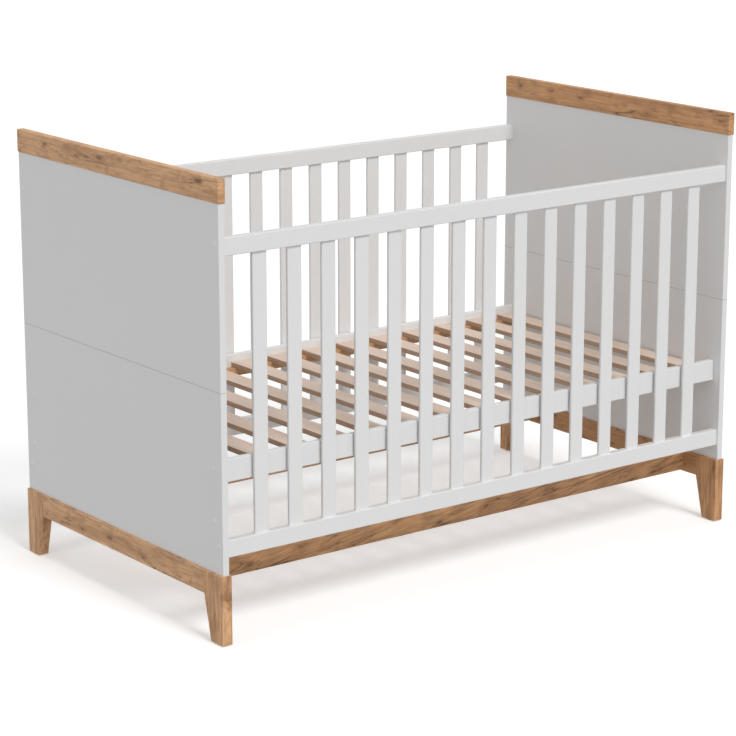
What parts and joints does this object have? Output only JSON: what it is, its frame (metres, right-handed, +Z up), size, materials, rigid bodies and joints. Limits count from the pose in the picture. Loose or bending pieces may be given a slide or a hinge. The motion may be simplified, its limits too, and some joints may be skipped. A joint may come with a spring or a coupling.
{
  "type": "baby crib",
  "caption": "Baby crib with solid white end walls on an oak leg frame, oak top strips, barred sides and a slatted base that hangs on bolts and lifts off.",
  "frame": {"origin": "on the floor, under the middle of the bed", "axes": "+X along the bed towards its right end seen from the front, +Y towards the rear side, +Z up"},
  "size_m": [1.45, 0.8, 0.989],
  "materials": {
    "white_board": "particle board with a matt white foil",
    "white_lacquer": "white lacquer, satin",
    "oak": "oak with dark cracks and knots, matt",
    "slat_wood": "plain planed softwood",
    "ledger_wood": "plain planed softwood",
    "dowel_wood": "plain beech",
    "cap_plastic": "moulded white plastic",
    "glide_plastic": "moulded dark plastic",
    "steel": "zinc plated"
  },
  "bodies": {
    "crib_frame": {"barrel_nuts": "steel", "base_bolts": "steel", "base_sleeves": "steel", "bolt_caps": "cap_plastic", "foot_glides": "glide_plastic", "front_bar_01": "white_lacquer", "front_bar_02": "white_lacquer", "front_bar_03": "white_lacquer", "front_bar_04": "white_lacquer", "front_bar_05": "white_lacquer", "front_bar_06": "white_lacquer", "front_bar_07": "white_lacquer", "front_bar_08": "white_lacquer", "front_bar_09": "white_lacquer", "front_bar_10": "white_lacquer", "front_bar_11": "white_lacquer", "front_bar_12": "white_lacquer", "front_bar_13": "white_lacquer", "front_bar_14": "white_lacquer", "front_bar_15": "white_lacquer", "front_bottom_rail": "white_lacquer", "front_stretcher": "oak", "front_top_rail": "white_lacquer", "left_apron": "oak", "left_front_leg": "oak", "left_lower_panel": "white_board", "left_rear_leg": "oak", "left_top_strip": "oak", "left_upper_panel": "white_board", "rail_bolts": "steel", "rear_bars": "white_lacquer", "rear_bottom_rail": "white_lacquer", "rear_stretcher": "oak", "rear_top_rail": "white_lacquer", "right_apron": "oak", "right_front_leg": "oak", "right_lower_panel": "white_board", "right_rear_leg": "oak", "right_top_strip": "oak", "right_upper_panel": "white_board", "wood_dowels": "dowel_wood"},
    "slatted_base": {"base_screws": "steel", "front_base_rail": "white_lacquer", "front_ledger": "ledger_wood", "rear_base_rail": "white_lacquer", "rear_ledger": "ledger_wood", "slat_01": "slat_wood", "slat_02": "slat_wood", "slat_03": "slat_wood", "slat_04": "slat_wood", "slat_05": "slat_wood", "slat_06": "slat_wood", "slat_07": "slat_wood", "slat_08": "slat_wood", "slat_09": "slat_wood", "slat_10": "slat_wood", "slat_11": "slat_wood", "slat_12": "slat_wood", "slat_13": "slat_wood", "slat_14": "slat_wood"}
  },
  "joints": [
    {"name": "base_lift", "type": "slide", "parent": "crib_frame", "child": "slatted_base", "axis": [0, 0, 1], "range_m": [0, 0.43]}
  ]
}
